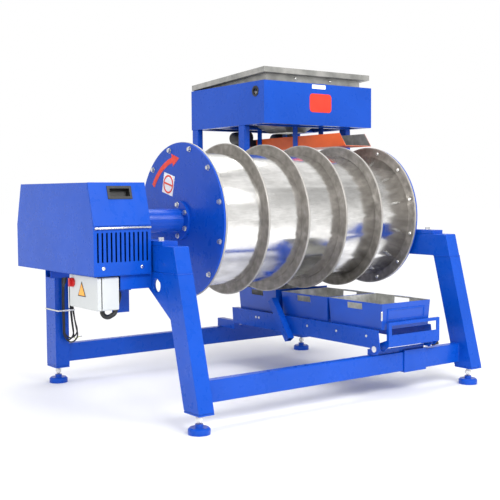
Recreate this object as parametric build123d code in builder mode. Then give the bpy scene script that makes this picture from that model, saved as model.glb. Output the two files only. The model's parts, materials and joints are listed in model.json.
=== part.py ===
from build123d import *
import os
from math import cos, radians, sin, tan

os.makedirs("parts", exist_ok=True)

# Drum magnetic separator, millimetres. +X runs along the drum from the drive end, +Z is up.
# The origin is on the floor at the middle of the machine's outline.

# Drum
axis_y = -97
axis_z = 905
ring_radius = 400
shell_radius = 345
shell_wall = 6
band = 259
bands = 5
drum_left = -407
drum_right = drum_left + bands * band
ring_thickness = 10
plate_thickness = 10
shaft_radius = 30
hub_radius = 60
hub_flange_radius = 100
running_gap = 0.05

# Floor frame, welded from rectangular tube
tube_wall = 5
leg_width = 80
leg_depth = 120
left_frame = -831
right_frame = 916
beam_top = 809
beam_bottom = 689
leg_bottom = 96
front_leg_top = -692
leg_slope = 0.2663
rear_leg_front = 543
rear_leg_back = rear_leg_front + leg_depth
rail_bottom = 118
rail_height = 100
rail_depth = 50
front_rail_front = -791
rear_rail_front = 553

# Drive cover
cover_left = -1129
cover_right = -841
cover_reach = 420
cover_top_reach = 364
cover_bottom = 685
cover_crease = 894
cover_top = 1093
sheet = 3

# Feeder
box_left = 287
box_right = 1129
box_front = 117
box_back = 884
box_bottom = 1443
box_top = 1690
trough_left = 660
trough_right = 860
trough_bottom = 1310
trough_top = 1386

# Product trays
tray_left = 293
tray_right = 640
tray_rim = 484
tray_floor = 352
guide_bottom = 258
guide_top = 352


def write(piece, name):
    """Label a finished piece and save it as its own file."""
    piece.part.label = name
    export_step(piece.part, f"parts/{name}.step")


def block(low, high):
    """Solid block between two corners."""
    size = [b - a for a, b in zip(low, high)]
    with BuildPart() as piece:
        with Locations(tuple((a + b) / 2 for a, b in zip(low, high))):
            Box(*size)
    return piece


def box_tube(low, high, along, wall=tube_wall):
    """Rectangular tube between two corners, open at both ends of the named axis."""
    size = [b - a for a, b in zip(low, high)]
    hole = [s if axis == along else s - 2 * wall for s, axis in zip(size, "xyz")]
    with BuildPart() as piece:
        with Locations(tuple((a + b) / 2 for a, b in zip(low, high))):
            Box(*size)
            Box(*hole, mode=Mode.SUBTRACT)
    return piece


def slab(plane, points, thickness):
    """Flat plate with a straight-sided outline on a plane, thickened along its normal."""
    with BuildPart() as piece:
        with BuildSketch(plane):
            with BuildLine():
                Polyline(*points, close=True)
            make_face()
        extrude(amount=thickness)
    return piece


def round_bar(plane, radius, length, bore=0):
    """Round bar or tube standing on a plane."""
    with BuildPart() as piece:
        with BuildSketch(plane):
            Circle(radius)
            if bore:
                Circle(bore, mode=Mode.SUBTRACT)
        extrude(amount=length)
    return piece


def hex_heads(places, across, height, washer):
    """Hexagon heads on round washers; each place's Z axis points out of the head."""
    washer_thickness = 2
    with BuildPart() as piece:
        for place in places:
            with BuildSketch(Plane(place)):
                Circle(washer)
            extrude(amount=washer_thickness)
            with BuildSketch(Plane(place).offset(washer_thickness)):
                RegularPolygon(across / 2, 6, major_radius=False)
            extrude(amount=height)
    return piece


def group(members):
    """Separate solids kept together as one piece."""
    with BuildPart() as piece:
        for member in members:
            add(member.part)
    return piece


def axis_plane(x, facing=1):
    """Plane square to the drum's axis, centred on it."""
    return Plane(origin=(x, axis_y, axis_z), x_dir=(0, 1, 0), z_dir=(facing, 0, 0))


def side_plane(x):
    """Plane square to X whose own axes are the machine's Y and Z."""
    return Plane(origin=(x, 0, 0), x_dir=(0, 1, 0), z_dir=(1, 0, 0))


def front_plane(y):
    """Plane square to Y whose own axes are the machine's X and Z, facing the back."""
    return Plane(origin=(0, y, 0), x_dir=(1, 0, 0), z_dir=(0, -1, 0))


def leg_front(z):
    """Y of the sloping front legs' front face at a height."""
    return front_leg_top - leg_slope * (beam_top - z)


# Floor frame: two end frames joined by two rails.
end_frames = (left_frame, right_frame)
front_legs = []
rear_legs = []
top_beams = []
for x in end_frames:
    with BuildPart() as front_leg:
        with BuildSketch(side_plane(x)):
            with BuildLine():
                Polyline(
                    (leg_front(leg_bottom), leg_bottom),
                    (leg_front(leg_bottom) + leg_depth, leg_bottom),
                    (leg_front(beam_bottom) + leg_depth, beam_bottom),
                    (leg_front(beam_bottom), beam_bottom),
                    close=True,
                )
            make_face()
        extrude(amount=leg_width)
        with BuildSketch(side_plane(x + tube_wall)):
            with BuildLine():
                Polyline(
                    (leg_front(leg_bottom) + tube_wall, leg_bottom),
                    (leg_front(leg_bottom) + leg_depth - tube_wall, leg_bottom),
                    (leg_front(beam_bottom) + leg_depth - tube_wall, beam_bottom),
                    (leg_front(beam_bottom) + tube_wall, beam_bottom),
                    close=True,
                )
            make_face()
        extrude(amount=leg_width - 2 * tube_wall, mode=Mode.SUBTRACT)
    front_legs.append(front_leg)

    rear_legs.append(
        box_tube(
            (x, rear_leg_front, leg_bottom), (x + leg_width, rear_leg_back, beam_bottom), "z"
        )
    )

    # The beam's front end is cut along the leg's slope and closed by its own plate.
    with BuildPart() as top_beam:
        with BuildSketch(side_plane(x)):
            with BuildLine():
                Polyline(
                    (leg_front(beam_bottom), beam_bottom),
                    (rear_leg_back, beam_bottom),
                    (rear_leg_back, beam_top),
                    (front_leg_top, beam_top),
                    close=True,
                )
            make_face()
        extrude(amount=leg_width)
        with BuildSketch(side_plane(x + tube_wall)):
            with BuildLine():
                Polyline(
                    (leg_front(beam_bottom + tube_wall) + tube_wall, beam_bottom + tube_wall),
                    (rear_leg_back, beam_bottom + tube_wall),
                    (rear_leg_back, beam_top - tube_wall),
                    (leg_front(beam_top - tube_wall) + tube_wall, beam_top - tube_wall),
                    close=True,
                )
            make_face()
        extrude(amount=leg_width - 2 * tube_wall, mode=Mode.SUBTRACT)
    top_beams.append(top_beam)
write(group(front_legs), "front_legs")
write(group(rear_legs), "rear_legs")
write(group(top_beams), "top_beams")

rails = []
for y in (front_rail_front, rear_rail_front):
    rails.append(
        box_tube(
            (left_frame + leg_width, y, rail_bottom),
            (right_frame, y + rail_depth, rail_bottom + rail_height),
            "x",
        )
    )
write(group(rails), "long_rails")

# Gusset plate with a lifting eye, level with the left frame's outer face.
gusset_thickness = 15
gusset_back = -470
gusset_step = 612
gusset_tip = 485
lifting_eye = (-544, 628)
with BuildPart() as left_gusset:
    with BuildSketch(side_plane(left_frame)):
        with BuildLine():
            Polyline(
                (leg_front(beam_bottom) + leg_depth, beam_bottom),
                (gusset_back, beam_bottom),
                (gusset_back, gusset_step),
                (leg_front(gusset_tip) + leg_depth, gusset_tip),
                close=True,
            )
        make_face()
        with Locations(lifting_eye):
            Circle(32, mode=Mode.SUBTRACT)
    extrude(amount=gusset_thickness)
write(left_gusset, "left_gusset")

# Plates that close the legs' feet and the beams' back ends.
cap_thickness = 8
cap_list = []
foot_places = []
for x in end_frames:
    for y in (leg_front(leg_bottom), rear_leg_front):
        cap_list.append(
            block((x, y, leg_bottom - cap_thickness), (x + leg_width, y + leg_depth, leg_bottom))
        )
        foot_places.append((x + leg_width / 2, y + leg_depth / 2))
    cap_list.append(
        block(
            (x, rear_leg_back, beam_bottom),
            (x + leg_width, rear_leg_back + cap_thickness / 2, beam_top),
        )
    )
write(group(cap_list), "tube_end_plates")

# Levelling feet: a domed pad under each leg and a stem with a hexagon collar.
pad_radius = 50
pad_top = 44
stem_radius = 10
pad_list = []
stem_list = []
for x, y in foot_places:
    floor_spot = Plane(origin=(x, y, 0))
    with BuildPart() as pad:
        with BuildSketch(floor_spot):
            Circle(pad_radius)
        extrude(amount=30)
        chamfer(pad.faces().sort_by(Axis.Z)[-1].edges(), 8)
        with BuildSketch(floor_spot.offset(30)):
            Circle(18)
        extrude(amount=pad_top - 30)
    pad_list.append(pad)
    with BuildPart() as stem:
        with BuildSketch(floor_spot.offset(pad_top)):
            Circle(stem_radius)
        extrude(amount=leg_bottom - cap_thickness - pad_top)
        with BuildSketch(floor_spot.offset(pad_top + 12)):
            RegularPolygon(15, 6, major_radius=False)
        extrude(amount=16)
    stem_list.append(stem)
write(group(pad_list), "foot_pads")
write(group(stem_list), "foot_stems")

# Bearing supports on the two top beams.
base_reach = 501
base_top = beam_top + 20
housing_reach = 75
housing_base = 110
housing_foot = 24
base_plates = []
base_bolts = []
for x in end_frames:
    base_plates.append(
        block((x, axis_y - base_reach, beam_top), (x + leg_width, axis_y + base_reach, base_top))
    )
    for reach, z in ((425, base_top), (housing_base - 17, base_top + housing_foot)):
        for y in (axis_y - reach, axis_y + reach):
            base_bolts.append(Location((x + leg_width / 2, y, z)))
write(group(base_plates), "bearing_base_plates")

for name, x, bore in (
    ("left_bearing_housing", left_frame, hub_radius + running_gap),
    ("right_axle_clamp", right_frame, shaft_radius + running_gap),
):
    with BuildPart() as housing:
        with BuildSketch(axis_plane(x + 8)):
            Circle(housing_reach)
            with Locations((0, (base_top - axis_z) / 2)):
                Rectangle(2 * housing_reach, axis_z - base_top)
            with Locations((0, base_top + housing_foot / 2 - axis_z)):
                Rectangle(2 * housing_base, housing_foot)
            Circle(bore, mode=Mode.SUBTRACT)
        extrude(amount=leg_width - 16)
    write(housing, name)
write(hex_heads(base_bolts, 24, 13, 17), "bearing_bolts")

# Drum: a thin stainless shell between two flanges, with a ring at each band.
drum_length = drum_right - drum_left
shell_start = drum_left + ring_thickness / 2
drum_shell = round_bar(
    axis_plane(shell_start), shell_radius, drum_length - ring_thickness, shell_radius - shell_wall
)
write(drum_shell, "drum_shell")

rings = []
for i in range(1, bands):
    rings.append(
        round_bar(
            axis_plane(drum_left + i * band - ring_thickness / 2),
            ring_radius,
            ring_thickness,
            shell_radius,
        )
    )
write(group(rings), "drum_rings")

# End flanges of the shell, and the plates bolted to them.
flange_bore = shell_radius - 45
flanges = [
    round_bar(axis_plane(drum_left - ring_thickness / 2), ring_radius, ring_thickness, flange_bore),
    round_bar(axis_plane(drum_right - ring_thickness / 2), ring_radius, ring_thickness, flange_bore),
]
write(group(flanges), "drum_end_flanges")

left_plate_face = drum_left - ring_thickness / 2 - plate_thickness
right_plate_start = drum_right + ring_thickness / 2
left_end_plate = round_bar(
    axis_plane(left_plate_face), ring_radius - 2, plate_thickness, hub_radius
)
write(left_end_plate, "left_end_plate")
right_end_plate = round_bar(
    axis_plane(right_plate_start), ring_radius - 2, plate_thickness, hub_radius
)
write(right_end_plate, "right_end_plate")



def bolt_circle(x, radius, count, first, facing):
    """Places of bolt heads round the drum's axis, at a height along it."""
    places = []
    for i in range(count):
        angle = radians(first + 360 * i / count)
        spot = (x, axis_y + radius * sin(angle), axis_z + radius * cos(angle))
        places.append(Plane(origin=spot, z_dir=(facing, 0, 0)).location)
    return places



# Left hub turns in the frame's bearing and is driven; the right hub runs on the still axle.
drive_end = -1010
hub_flange_thickness = 16
left_hub_end = drum_left + 35
axle_left = drum_left - 2
with BuildPart() as left_hub:
    with BuildSketch(axis_plane(left_frame - 6)):
        Circle(hub_radius)
    extrude(amount=left_hub_end - left_frame + 6)
    with BuildSketch(axis_plane(left_plate_face - hub_flange_thickness)):
        Circle(hub_flange_radius)
    extrude(amount=hub_flange_thickness)
    with BuildSketch(axis_plane(drive_end)):
        Circle(shaft_radius)
    extrude(amount=left_frame - 6 - drive_end)
    with BuildSketch(axis_plane(axle_left - 2)):
        Circle(shaft_radius + running_gap)
    extrude(amount=100, mode=Mode.SUBTRACT)
write(left_hub, "left_hub")

drum_bolts = [
    hex_heads(bolt_circle(left_plate_face, 372, 12, 15, -1), 19, 10, 14),
    hex_heads(bolt_circle(right_plate_start + plate_thickness, 372, 12, 15, 1), 19, 7, 14),
    hex_heads(bolt_circle(left_plate_face - hub_flange_thickness, 80, 6, 0, -1), 19, 8, 14),
]
write(group(drum_bolts), "drum_bolts")

right_hub_end = right_plate_start + plate_thickness
right_hub = round_bar(
    axis_plane(drum_right - 50), hub_radius, right_hub_end - drum_right + 50, shaft_radius + running_gap
)
write(right_hub, "right_hub")

# Still magnets inside the drum, held on the axle that the right clamp grips.
magnet_left = drum_left + 60
magnet_right = drum_right - 80
axle_end = right_frame + leg_width + 30
magnet_axle = round_bar(axis_plane(axle_left), shaft_radius, axle_end - axle_left)
write(magnet_axle, "magnet_axle")

yoke_radius = 290
with BuildPart() as magnet_yoke:
    with BuildSketch(axis_plane(magnet_left)):
        Circle(yoke_radius)
        Circle(yoke_radius - 14, mode=Mode.SUBTRACT)
        with Locations((yoke_radius, 0)):
            Rectangle(2 * yoke_radius - 80, 4 * yoke_radius, mode=Mode.SUBTRACT)
    extrude(amount=magnet_right - magnet_left)
    for x in (magnet_left, magnet_right - 12):
        with BuildSketch(axis_plane(x)):
            Circle(45)
            with Locations((-yoke_radius / 2, 0)):
                Rectangle(yoke_radius - 20, 60)
            Circle(shaft_radius, mode=Mode.SUBTRACT)
        extrude(amount=12)
write(magnet_yoke, "magnet_yoke")

magnet_rows = 7
magnet_list = []
for i in range(magnet_rows):
    angle = radians(180 + 18 * (i - (magnet_rows - 1) / 2))
    middle = yoke_radius + 15
    spot = Plane(
        origin=(
            magnet_left + 40,
            axis_y + middle * cos(angle),
            axis_z + middle * sin(angle),
        ),
        x_dir=(0, cos(angle), sin(angle)),
        z_dir=(1, 0, 0),
    )
    with BuildPart() as magnet:
        with BuildSketch(spot):
            Rectangle(24, 60)
        extrude(amount=magnet_right - magnet_left - 80)
    magnet_list.append(magnet)
write(group(magnet_list), "magnet_bars")

# Lever on the axle's outer end sets where the magnets hold.
lever_x = right_frame + leg_width + 6
with BuildPart() as axle_lever:
    with BuildSketch(axis_plane(lever_x)):
        Circle(48)
        with Locations((0, 110)):
            Rectangle(30, 200)
        Circle(shaft_radius, mode=Mode.SUBTRACT)
    extrude(amount=12)
    with BuildSketch(axis_plane(lever_x + 12)):
        with Locations((0, 195)):
            Circle(11)
    extrude(amount=70)
write(axle_lever, "axle_lever")

# Drive platform, carried by two short arms from the left frame.
platform_sheet = 4
platform_under = cover_bottom - platform_sheet
arm_left = -990
arm_list = []
for y in (-497, 243):
    arm_list.append(
        box_tube((arm_left, y, platform_under - 66), (left_frame, y + 60, platform_under), "x")
    )
write(group(arm_list), "platform_arms")

# Gearmotor: a hollow-shaft gearbox round the drive shaft with its motor towards the back.
gearbox_left = -1000
gearbox_right = -870
with BuildPart() as gearbox_housing:
    with BuildSketch(axis_plane(gearbox_left)):
        RectangleRounded(230, 250, 30)
        Circle(shaft_radius + running_gap, mode=Mode.SUBTRACT)
    extrude(amount=gearbox_right - gearbox_left)
    with BuildSketch(Plane(origin=(gearbox_left + 65, axis_y + 115, axis_z - 55), z_dir=(0, 1, 0))):
        Circle(60)
    extrude(amount=20)
write(gearbox_housing, "gearbox_housing")

motor_start = axis_y + 135
motor_length = 230
motor_plane = Plane(origin=(gearbox_left + 65, motor_start, axis_z - 55), z_dir=(0, 1, 0))
with BuildPart() as drive_motor:
    with BuildSketch(motor_plane):
        Circle(62)
        with PolarLocations(68, 24):
            Rectangle(20, 5)
    extrude(amount=motor_length)
    with BuildSketch(motor_plane.offset(motor_length)):
        Circle(76)
    extrude(amount=30)
write(drive_motor, "drive_motor")

# Platform with the gearbox's pedestal on it and the supply cable's gland under it
gland = (-870, 330)
gland_bottom = 662
with BuildPart() as drive_platform:
    add(
        block(
            (cover_left, axis_y - cover_reach, platform_under),
            (cover_right, axis_y + cover_reach, cover_bottom),
        ).part
    )
    add(
        block(
            (gearbox_left + 10, axis_y - 100, cover_bottom),
            (gearbox_right - 10, axis_y + 100, axis_z - 125),
        ).part
    )
    with BuildSketch(Plane(origin=(*gland, gland_bottom))):
        RegularPolygon(12, 6, major_radius=False)
    extrude(amount=platform_under - gland_bottom)
write(drive_platform, "drive_platform")

# Sheet-metal drive cover: open below, slotted front and back, hatch opening in the front slope.
hatch_margin = 14
slope_run = cover_reach - cover_top_reach
slope_rise = cover_top - cover_crease
slot_count = 12
slot_pitch = 22.4


def cover_outline(inset):
    """Cover's outline seen along X, drawn in by an inset on every side but the bottom."""
    return [
        (axis_y - cover_reach + inset, cover_bottom),
        (axis_y + cover_reach - inset, cover_bottom),
        (axis_y + cover_reach - inset, cover_crease),
        (axis_y + cover_top_reach - inset, cover_top - inset),
        (axis_y - cover_top_reach + inset, cover_top - inset),
        (axis_y - cover_reach + inset, cover_crease),
    ]


slot_middle = (cover_left + cover_right) / 2
with BuildPart() as cover_shell:
    with BuildSketch(side_plane(cover_left)):
        with BuildLine():
            Polyline(*cover_outline(0), close=True)
        make_face()
    extrude(amount=cover_right - cover_left)
    with BuildSketch(side_plane(cover_left + sheet)):
        with BuildLine():
            Polyline(*cover_outline(sheet), close=True)
        make_face()
    extrude(amount=cover_right - cover_left - 2 * sheet, mode=Mode.SUBTRACT)
    # Slots through the front and back walls
    with BuildSketch(front_plane(axis_y + cover_reach + 10)):
        with Locations((slot_middle, 807)):
            with GridLocations(slot_pitch, 1, slot_count, 1):
                Rectangle(8, 130)
    extrude(amount=2 * cover_reach + 20, mode=Mode.SUBTRACT)
    # Way out for the hub, open to the bottom so that the cover lifts off
    with BuildSketch(side_plane(cover_right - 10)):
        with Locations((axis_y, axis_z)):
            Circle(hub_radius + 25)
        with Locations((axis_y, (axis_z + cover_bottom) / 2)):
            Rectangle(2 * hub_radius + 50, axis_z - cover_bottom)
    extrude(amount=20, mode=Mode.SUBTRACT)
    # Hatch opening in the front slope
    with BuildSketch(front_plane(axis_y)):
        with Locations((slot_middle, (cover_crease + cover_top) / 2)):
            Rectangle(
                cover_right - cover_left - 2 * hatch_margin, slope_rise - 2 * hatch_margin
            )
    extrude(amount=cover_reach + 20, mode=Mode.SUBTRACT)
write(cover_shell, "cover_shell")

screw_places = []
for y, facing in ((axis_y - cover_reach, -1), (axis_y + cover_reach, 1)):
    for x in (-1083, -889):
        screw_places.append(Plane(origin=(x, y, 716), z_dir=(0, facing, 0)).location)
screw_list = []
for place in screw_places:
    with BuildPart() as screw:
        with BuildSketch(Plane(place)):
            Circle(9)
        extrude(amount=5)
        fillet(screw.faces().sort_by(Axis.Y)[0 if place.position.Y < axis_y else -1].edges(), 3)
    screw_list.append(screw)
write(group(screw_list), "cover_screws")

# Hatch on the front slope, hung from a long hinge along the crease.
hatch_thickness = 3
slope_length = (slope_run**2 + slope_rise**2) ** 0.5
hatch_plane = Plane(
    origin=(slot_middle, axis_y - cover_reach, cover_crease),
    x_dir=(1, 0, 0),
    z_dir=(0, -slope_rise, slope_run),
)
hatch_gap = 1
with BuildPart() as cover_hatch:
    with BuildSketch(hatch_plane.offset(hatch_gap)):
        with Locations((0, slope_length / 2 + 4)):
            Rectangle(cover_right - cover_left - 2, slope_length - 8)
        with Locations((7, slope_length * 0.77)):
            Rectangle(110, 48, mode=Mode.SUBTRACT)
    extrude(amount=hatch_thickness)
write(cover_hatch, "cover_hatch")

with BuildPart() as hatch_handle:
    with BuildSketch(hatch_plane.offset(hatch_gap + hatch_thickness)):
        with Locations((7, slope_length * 0.77)):
            Rectangle(122, 60)
            Rectangle(98, 36, mode=Mode.SUBTRACT)
    extrude(amount=4)
    with BuildSketch(hatch_plane.offset(hatch_gap + hatch_thickness)):
        with Locations((7, slope_length * 0.77)):
            Rectangle(108, 46)
            Rectangle(98, 36, mode=Mode.SUBTRACT)
    extrude(amount=-30)
    with BuildSketch(hatch_plane.offset(hatch_gap + hatch_thickness - 30)):
        with Locations((7, slope_length * 0.77)):
            Rectangle(108, 46)
    extrude(amount=3)
write(hatch_handle, "hatch_handle")

hinge_radius = 5
hatch_hinge = round_bar(
    Plane(
        origin=(cover_left + 4, axis_y - cover_reach - hinge_radius - 1, cover_crease - 2),
        z_dir=(1, 0, 0),
    ),
    hinge_radius,
    cover_right - cover_left - 8,
)
write(hatch_hinge, "hatch_hinge")

# Electrical enclosure under the cover, on a cranked bracket.
enclosure_left = -1105
enclosure_right = -1000
enclosure_front = -501
enclosure_back = -221
enclosure_bottom = 527
enclosure_top = 675
door_thickness = 18
bracket_outline = [
    (enclosure_right, platform_under),
    (left_frame, platform_under),
    (left_frame, 589),
    (-842, 589),
    (-842, 487),
    (-930, 487),
    (-930, 560),
    (enclosure_right, 560),
]
write(slab(front_plane(-300), bracket_outline, 8), "enclosure_bracket")

with BuildPart() as enclosure_box:
    with Locations(
        (
            (enclosure_left + door_thickness + 5 + enclosure_right) / 2,
            (enclosure_front + enclosure_back) / 2,
            (enclosure_bottom + enclosure_top) / 2,
        )
    ):
        Box(
            enclosure_right - enclosure_left - door_thickness - 5,
            enclosure_back - enclosure_front,
            enclosure_top - enclosure_bottom,
        )
    chamfer(enclosure_box.edges().filter_by(Axis.X), 5)
    front = enclosure_box.faces().sort_by(Axis.X)[0]
    offset(amount=-sheet, openings=front)
write(enclosure_box, "enclosure_box")

with BuildPart() as enclosure_door:
    with Locations(
        (
            enclosure_left + door_thickness / 2,
            (enclosure_front + enclosure_back) / 2,
            (enclosure_bottom + enclosure_top) / 2,
        )
    ):
        Box(
            door_thickness,
            enclosure_back - enclosure_front,
            enclosure_top - enclosure_bottom,
        )
    chamfer(enclosure_door.edges().filter_by(Axis.X), 5)
    back = enclosure_door.faces().sort_by(Axis.X)[-1]
    offset(amount=-sheet, openings=back)
write(enclosure_door, "enclosure_door")

# Rotary isolator on the door: a round boss with a bar grip across it
isolator = (-258, 640)
isolator_face = enclosure_left - 22
isolator_plane = Plane(
    origin=(isolator_face, *isolator), x_dir=(0, 1, 0), z_dir=(1, 0, 0)
)
with BuildPart() as isolator_knob:
    with BuildSketch(isolator_plane):
        SlotOverall(40, 12, rotation=90)
    extrude(amount=12)
    with BuildSketch(isolator_plane.offset(12)):
        Circle(21)
    extrude(amount=9.7)
write(isolator_knob, "isolator_knob")

# Motor conduit: leaves the platform, bows forward of the enclosure and enters its underside.
conduit_radius = 11
conduit_x = -985
conduit_y = -410
with BuildPart() as motor_conduit:
    with BuildLine() as conduit_path:
        FilletPolyline(
            (conduit_x, conduit_y, platform_under),
            (conduit_x, conduit_y, 640),
            (conduit_x + 34, conduit_y - 6, 585),
            (conduit_x + 6, conduit_y - 8, 500),
            (conduit_x - 52, conduit_y, 470),
            (conduit_x - 52, conduit_y, enclosure_bottom),
            radius=26,
        )
    with BuildSketch(Plane(origin=conduit_path.line @ 0, z_dir=conduit_path.line % 0)):
        Circle(conduit_radius)
    sweep()
write(motor_conduit, "motor_conduit")

# Supply cable: a lead from the gland to a hank hung down the left rear leg and strapped to it.
cable_radius = 4
hank_x = left_frame + 62
hank_y = rear_leg_front - 22
hank_thickness = 38
hank_outline = [
    (hank_x - 28, 640),
    (hank_x + 28, 640),
    (hank_x + 32, 400),
    (hank_x + 72, 270),
    (hank_x + 60, 215),
    (hank_x - 12, 215),
    (hank_x - 32, 270),
    (hank_x - 32, 400),
]
with BuildPart() as hank:
    with BuildSketch(front_plane(hank_y + hank_thickness / 2)):
        with BuildLine():
            Polyline(*hank_outline, close=True)
        make_face()
    extrude(amount=hank_thickness)
    fillet(hank.edges().filter_by(Axis.Y), 12)
write(hank, "supply_cable_hank")

lead_route = [
    Vector(*gland, gland_bottom),
    Vector(-870, 330, 618),
    Vector(-862, 356, 580),
    Vector(-848, 396, 556),
    Vector(-828, 438, 550),
    Vector(-804, 470, 562),
    Vector(-784, 484, 584),
    Vector(hank_x, hank_y - hank_thickness / 2, 600),
]
lead_radii = []
for before, corner, after in zip(lead_route, lead_route[1:], lead_route[2:]):
    run_in = corner - before
    run_out = after - corner
    half_turn = radians(run_in.get_angle(run_out)) / 2
    lead_radii.append(0.45 * min(run_in.length, run_out.length) / tan(half_turn))
print("supply cable bend radii, mm:", [round(radius) for radius in lead_radii])
with BuildPart() as supply_lead:
    with BuildLine() as lead_path:
        FilletPolyline(*lead_route, radius=lead_radii)
    with BuildSketch(Plane(origin=lead_path.line @ 0, z_dir=lead_path.line % 0)):
        Circle(cable_radius)
    sweep()
write(supply_lead, "supply_cable_lead")

strap_bottom = 405
strap = box_tube(
    (left_frame - 3, hank_y - hank_thickness / 2 - 3, strap_bottom),
    (hank_x + 36, rear_leg_back + 3, strap_bottom + 8),
    "z",
    2,
)
write(strap, "cable_strap")

# Bridge beams from frame to frame behind the drum carry the feeder's stand.
bridge_height = 80
bridge_list = []
for y in (420, 580):
    bridge_list.append(
        box_tube((left_frame, y, beam_top), (box_right, y + 60, beam_top + bridge_height), "x")
    )
write(group(bridge_list), "bridge_beams")

# Feeder stand: two side beams on the bridge and four posts up to the box.
post_width = 40
post_depth = 60
glide_gap = 0.5
stand_bottom = beam_top + bridge_height + glide_gap
post_foot = stand_bottom + 60
stand_list = []
for x in (box_left, box_right - post_width):
    stand_list.append(
        box_tube((x, 312, stand_bottom), (x + post_width, box_back - 10, post_foot), "y", 4)
    )
    for y in (312, box_back - 10 - post_depth):
        stand_list.append(
            box_tube((x, y, post_foot), (x + post_width, y + post_depth, box_bottom), "z", 4)
        )
write(group(stand_list), "feeder_stand")

# Feeder box: a rectangular skirt with a cable hole, carried on the posts.
box_sheet = 4
rim_left = box_left + 2
rim_right = 1112
rim_front = box_front
rim_back = box_back - 4
rim_front_bottom = 1736
rim_back_bottom = 1694
rim_height = 32
rim_width = 50
neck_left = rim_left + rim_width - 6
neck_right = rim_right - rim_width + 6
funnel_top = 1640
with BuildPart() as feeder_box:
    with BuildSketch(Plane.XY.offset(box_bottom)):
        with Locations(((box_left + box_right) / 2, (box_front + box_back) / 2)):
            Rectangle(box_right - box_left, box_back - box_front)
            Rectangle(
                box_right - box_left - 2 * box_sheet,
                box_back - box_front - 2 * box_sheet,
                mode=Mode.SUBTRACT,
            )
    extrude(amount=box_top - box_bottom)
    # Inward flange along the bottom edge, over the posts
    with BuildSketch(Plane.XY.offset(box_bottom)):
        with Locations(((box_left + box_right) / 2, (box_front + box_back) / 2)):
            Rectangle(box_right - box_left, box_back - box_front)
            Rectangle(
                box_right - box_left - 2 * post_width,
                box_back - box_front - 2 * post_width,
                mode=Mode.SUBTRACT,
            )
    extrude(amount=box_sheet)
    with BuildSketch(side_plane(box_left - 1)):
        with Locations((200, 1632)):
            Circle(31)
    extrude(amount=box_sheet + 2, mode=Mode.SUBTRACT)
    # Ledges inside both ends carry the hopper's neck
    for x0, x1 in ((box_left + 1, neck_left), (neck_right, box_right - 1)):
        with Locations(((x0 + x1) / 2, (box_front + box_back) / 2, funnel_top + box_sheet / 2)):
            Box(x1 - x0, 400, box_sheet)
write(feeder_box, "feeder_box")

grommet = round_bar(
    Plane(origin=(box_left - 3, 200, 1632), x_dir=(0, 1, 0), z_dir=(1, 0, 0)), 31, 12, 20
)
write(grommet, "cable_grommet")

# Hopper: a raw steel rim sloping to the back, a neck and a funnel down to the trough.
hopper_mid_x = (trough_left + trough_right) / 2
rim_slope = (rim_front_bottom - rim_back_bottom) / (rim_back - rim_front)
with BuildPart() as hopper_rim:
    with BuildSketch(side_plane(rim_left)):
        with BuildLine():
            Polyline(
                (rim_front, rim_front_bottom),
                (rim_back, rim_back_bottom),
                (rim_back, rim_back_bottom + rim_height),
                (rim_front, rim_front_bottom + rim_height),
                close=True,
            )
        make_face()
    extrude(amount=rim_right - rim_left)
    with BuildSketch(Plane.XY.offset(rim_back_bottom - 20)):
        with Locations(((rim_left + rim_right) / 2, (rim_front + rim_back) / 2)):
            Rectangle(
                rim_right - rim_left - 2 * rim_width, rim_back - rim_front - 2 * rim_width
            )
    extrude(amount=120, mode=Mode.SUBTRACT)
write(hopper_rim, "hopper_rim")

neck_sheet = 4
funnel_bottom = 1420
funnel_mouth = (neck_right - neck_left, rim_back - rim_front - 2 * rim_width + 12)
funnel_outlet = (140, 180)
hopper_centre = ((rim_left + rim_right) / 2, (rim_front + rim_back) / 2)
outlet_centre = (hopper_mid_x, hopper_centre[1])
with BuildPart() as hopper_funnel:
    # Neck between the funnel and the sloping rim
    with BuildSketch(Plane.XY.offset(funnel_top)):
        with Locations(hopper_centre):
            Rectangle(*funnel_mouth)
            Rectangle(
                funnel_mouth[0] - 2 * neck_sheet,
                funnel_mouth[1] - 2 * neck_sheet,
                mode=Mode.SUBTRACT,
            )
    extrude(amount=120)
    with BuildSketch(side_plane(rim_left)):
        with BuildLine():
            Polyline(
                (rim_front - 10, rim_front_bottom + 10 * rim_slope),
                (rim_back + 10, rim_back_bottom - 10 * rim_slope),
                (rim_back + 10, rim_back_bottom + 200),
                (rim_front - 10, rim_back_bottom + 200),
                close=True,
            )
        make_face()
    extrude(amount=rim_right - rim_left, mode=Mode.SUBTRACT)
    # Four sloping walls down to the outlet
    with BuildSketch(Plane.XY.offset(funnel_top)):
        with Locations(hopper_centre):
            Rectangle(*funnel_mouth)
    with BuildSketch(Plane.XY.offset(funnel_bottom)):
        with Locations(outlet_centre):
            Rectangle(*funnel_outlet)
    loft()
    with BuildSketch(Plane.XY.offset(funnel_top)):
        with Locations(hopper_centre):
            Rectangle(funnel_mouth[0] - 2 * neck_sheet, funnel_mouth[1] - 2 * neck_sheet)
    with BuildSketch(Plane.XY.offset(funnel_bottom)):
        with Locations(outlet_centre):
            Rectangle(funnel_outlet[0] - 2 * neck_sheet, funnel_outlet[1] - 2 * neck_sheet)
    loft(mode=Mode.SUBTRACT)
write(hopper_funnel, "hopper_funnel")

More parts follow.
